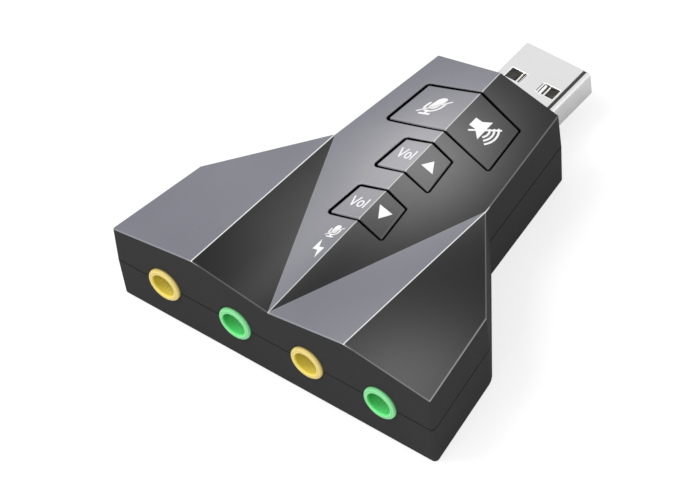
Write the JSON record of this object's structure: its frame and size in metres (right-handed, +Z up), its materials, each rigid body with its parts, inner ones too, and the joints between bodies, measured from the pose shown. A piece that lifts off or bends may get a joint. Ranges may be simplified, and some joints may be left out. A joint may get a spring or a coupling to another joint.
{
  "type": "usb sound card",
  "caption": "Dart-shaped USB sound card with a faceted case, a plug at the nose, audio jacks in the tail wall and chevron keys on the spine.",
  "frame": {"origin": "middle of the whole object's box, on the plane of the underside", "axes": "+Y towards the USB plug, +Z up out of the keys, +X to the right seen from the jacks"},
  "size_m": [0.0582, 0.0688, 0.016],
  "materials": {
    "case_plastic": "satin moulded",
    "key_plastic": "satin moulded",
    "plug_steel": "nickel plated sheet",
    "black_plastic": "moulded",
    "gold_plate": "plated",
    "yellow_plastic": "gloss moulded",
    "green_plastic": "gloss moulded",
    "board_laminate": "solder mask on glass laminate",
    "tin_plate": "tinned",
    "lamp_resin": "clear resin",
    "clear_acrylic": "clear moulded",
    "can_aluminium": "drawn can",
    "tan_ceramic": "ceramic"
  },
  "bodies": {
    "case": {"bottom_cover": "case_plastic", "top_cover": "case_plastic", "main_board": "board_laminate", "usb_plug_shell": "plug_steel", "usb_plug_insulator": "black_plastic", "usb_contacts": "gold_plate", "switch_terminals": "tin_plate", "power_led": "lamp_resin", "mute_led": "lamp_resin", "light_guide": "clear_acrylic", "audio_chip": "black_plastic", "audio_chip_leads": "tin_plate", "clock_crystal": "plug_steel", "capacitor_bases": "black_plastic", "capacitor_cans": "can_aluminium", "chip_resistors": "black_plastic", "chip_capacitors": "tan_ceramic", "mic_jack_left": "yellow_plastic", "mic_jack_left_springs": "gold_plate", "phone_jack_left": "green_plastic", "phone_jack_left_springs": "gold_plate", "mic_jack_right": "yellow_plastic", "mic_jack_right_springs": "gold_plate", "phone_jack_right": "green_plastic", "phone_jack_right_springs": "gold_plate", "mic_mute_switch": "black_plastic", "speaker_mute_switch": "black_plastic", "volume_up_switch": "black_plastic", "volume_down_switch": "black_plastic"},
    "mute_rocker": {"mute_key": "key_plastic"},
    "volume_up_button": {"volume_up_key": "key_plastic", "volume_up_plunger": "black_plastic"},
    "volume_down_button": {"volume_down_key": "key_plastic", "volume_down_plunger": "black_plastic"},
    "mic_mute_button": {"mic_mute_plunger": "black_plastic"},
    "speaker_mute_button": {"speaker_mute_plunger": "black_plastic"}
  },
  "joints": [
    {"name": "mute_rock", "type": "hinge", "parent": "case", "child": "mute_rocker", "pos_m": [0, 0.0119, 0.0129], "axis": [0, 1, 0], "range_deg": [-2, 2], "stiffness_Nm_per_rad": 0.1},
    {"name": "volume_up_press", "type": "slide", "parent": "case", "child": "volume_up_button", "axis": [0, 0, -1], "range_m": [0, 0.0003], "stiffness_N_per_m": 1500},
    {"name": "volume_down_press", "type": "slide", "parent": "case", "child": "volume_down_button", "axis": [0, 0, -1], "range_m": [0, 0.0003], "stiffness_N_per_m": 1500},
    {"name": "mic_mute_press", "type": "slide", "parent": "case", "child": "mic_mute_button", "axis": [0, 0, -1], "range_m": [0, 0.0003], "stiffness_N_per_m": 1500},
    {"name": "speaker_mute_press", "type": "slide", "parent": "case", "child": "speaker_mute_button", "axis": [0, 0, -1], "range_m": [0, 0.0003], "stiffness_N_per_m": 1500}
  ]
}
